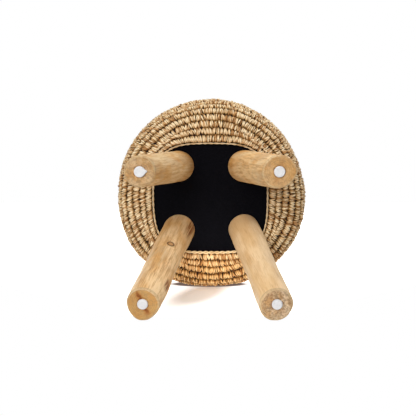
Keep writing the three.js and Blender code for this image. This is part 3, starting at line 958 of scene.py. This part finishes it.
# ---- Finishes of the solids that stay ----
def plywood_finish():
    """Sheets of veneer, pale and dark by turns through the board's thickness, with long grain on its faces."""
    finish = Finish("plywood", Roughness=0.75, Specular_IOR_Level=0.3)
    sheets = (finish.part(finish.place, "Z") * (TURN / (3 * MM))).sine() * 0.5 + 0.5
    grain = finish.noise((12, 260, 60), 4.0, 0.6)
    colour = finish.mix(grain.ramp(0.35, 0.7), rgb(222, 190, 142), rgb(190, 148, 98))
    return finish.wear(finish.mix(sheets.ramp(0.5, 0.8) * 0.4, colour, rgb(150, 108, 66)), grain * (0.2 * MM))


def steel_finish():
    """Zinc plate: dull steel with a faint spangle and worn spots."""
    finish = Finish("zinc_steel", Metallic=1.0)
    spangle = finish.cells(700, "Color")
    worn = finish.noise(420, 3.0)
    zinc = finish.mix(worn.ramp(0.4, 0.75), rgb(196, 197, 196), rgb(150, 149, 144))
    return finish.wear(finish.mix(0.12, zinc, spangle), worn * (0.05 * MM), worn * 0.3 + 0.22)


plywood, steel = plywood_finish(), steel_finish()
for name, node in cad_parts.items():
    finish = plywood if name == "base_board" else steel
    for holder in node.material_slots:
        holder.link = "OBJECT"
        holder.material = finish.material


# ---- Floor, light and camera ----
def stage_finish(name, middle, reach, lift, turn=0.0, contact=None):
    """White floor for the camera alone, and from above alone. The stool's real shadow on it shows only inside an
    ellipse that is turned about Y, where its glow is low and warm, a painted warm tint in the shadow; elsewhere it
    glows white. In the contact ellipse it is painted dark: a painted contact shadow under the cushion."""
    finish = Finish(name, Roughness=1.0, Specular_IOR_Level=0.0, Emission_Strength=1.0)
    # a warm base colour and a warm glow: painted warm light in the stool's shadow
    own, glow = (0.82, 0.75, 0.69, 1), (lift, 0.94 * lift, 0.86 * lift, 1)
    # painted contact shadow: the floor is dark where the cushion touches it
    contact_shadow = finish.away(finish.place, *contact).ramp(1.15, 0.85) if contact else 0.0
    glow = finish.mix(finish.away(finish.place, middle, reach, turn).ramp(0.35, 1.0), glow, (1, 1, 1, 1))
    finish.feed("Base Color", finish.mix(contact_shadow, own, (0.10, 0.07, 0.05, 1)))
    finish.feed("Emission Color", finish.mix(contact_shadow, glow, (0.12, 0.09, 0.08, 1)))
    from_above = finish.node("ShaderNodeNewGeometry", output="Backfacing").ramp(1, 0)
    clear = finish.node("ShaderNodeBsdfTransparent")
    finish.put_out(finish.seen() * from_above, clear, Amount(finish, finish.shader.outputs[0]), "Material Output")
    return finish


def stage_plane(name, corners, *shadow):
    """A flat four-sided sheet whose front is the side from which its corners run anticlockwise."""
    mesh = bpy.data.meshes.new(name)
    mesh.from_pydata(corners, [], [(0, 1, 2, 3)])
    mesh.materials.append(stage_finish(name, *shadow).material)
    plane = stand(name, mesh)
    plane.visible_diffuse = plane.visible_shadow = False


# The stool lies on the heels of two legs, and on the steepest plane from there that passes below the whole seat
feet = np.concatenate([points_of["log_3"], points_of["log_4"]])
seat = np.concatenate([points_of[name] for name in points_of if name.startswith("crochet")])
feet = feet[feet[:, 2] < leg_foot_level + 12 * MM]
heel = feet[feet[:, 1].argmin(), 1:]
slope = ((seat[:, 1] - heel[0]) / (seat[:, 2] - heel[1])).min()
near_z, far_z, half = 0.04, 3.0, 3.0
near_y, far_y = (heel[0] + slope * (z - heel[1]) - 0.4 * MM for z in (near_z, far_z))
# The shadow ellipse's middle, half axes, light and turn, and the painted contact shadow's middle and half axes
lying_shadow = ((0.023, heel[0], 0.264), (0.066, 1.0, 0.205), 0.262, 0.274)
lying_contact_shadow = ((0.006, heel[0], 0.382), (0.084, 1.0, 0.036))
stage_plane(
    "floor_it_lies_on",
    [(-0.12, near_y, near_z), (-half, far_y, far_z), (half, far_y, far_z), (0.15, near_y, near_z)],
    *lying_shadow, lying_contact_shadow)
level = -0.5 * MM
stage_plane(
    "floor_it_stands_on",
    [(-half, -half, level), (half, -half, level), (half, half, level), (-half, half, level)],
    (0, 0, 0), (0.55, 0.55, 1.0), 0.30)


def light(kind, name, place, target, power, colour=(1, 1, 1), **settings):
    """A soft light at a place, facing its target."""
    lamp = bpy.data.lights.new(name, kind)
    lamp.energy, lamp.color = power, colour
    for key, value in settings.items():
        setattr(lamp, key, value)
    back = unit(np.subtract(place, target))
    side = unit(np.cross([0.01, 0.02, 1.0], back))
    stand(name, lamp, (side, np.cross(back, side), back), place)


light("AREA", "lamp_over_the_lying_stool", (0.1, 1.8, 0.0), (0, 0, 0.3), 10.5, size=1.1)
light("AREA", "lamp_before_the_lying_stool", (0.6, 1.0, -1.85), (0, 0, 0.3), 42, size=1.3)
light("AREA", "lamp_below_the_lying_stool", (0, -1.3, -0.4), (0, -0.12, 0.33), 8.0, (1.0, 0.90, 0.77), size=1.0)
light("SPOT", "spot_on_the_lower_seat", (0, 0.1, -1.2), (0, -0.117, 0.335), 76, (1.0, 0.94, 0.84),
      spot_size=math.radians(9), spot_blend=1.0, shadow_soft_size=60 * MM)
light("AREA", "lamp_over_the_standing_stool", (0.5, -0.6, 2.3), (0, 0, 0.3), 46, size=1.6)
light("AREA", "lamp_beside_the_standing_stool", (-1.6, 1.3, 1.3), (0, 0, 0.35), 20, size=1.4)


def even_light(strength):
    """Even light from all round. The camera, and gloss and glass, see it as white."""
    world = bpy.data.worlds.new("studio")
    bpy.context.scene.world = world
    world.use_nodes = True
    nodes = Nodes(world.node_tree)
    room, white = (
        nodes.node("ShaderNodeBackground", inputs={"Color": (1, 1, 1, 1), "Strength": level})
        for level in (strength, 1.0))
    nodes.put_out(nodes.seen(), room, white, "World Output")


even_light(0.29)


def look_from_below():
    """The camera that was fitted to the picture: it sees the stool from below with +Y up, tipped by the pitch and
    turned by the yaw, with the stool's origin at a measured place before it."""
    picture_width, focal_length, sensor_width = 416, 800, 36
    pitch, yaw = math.radians(13.25), math.radians(0.67)
    turns = Matrix.Rotation(yaw, 3, "Y") @ Matrix.Rotation(pitch, 3, "X")
    right, down, ahead = axes = np.array(turns) * [-1, -1, 1]
    origin = np.array([2.8, 54.2, 1365.7]) * MM
    lens = bpy.data.cameras.new("camera")
    lens.lens, lens.sensor_width = sensor_width * focal_length / picture_width, sensor_width
    bpy.context.scene.camera = stand("camera", lens, (right, -down, -ahead), -axes.T @ origin)


look_from_below()
bpy.context.scene.view_settings.view_transform = "Standard"
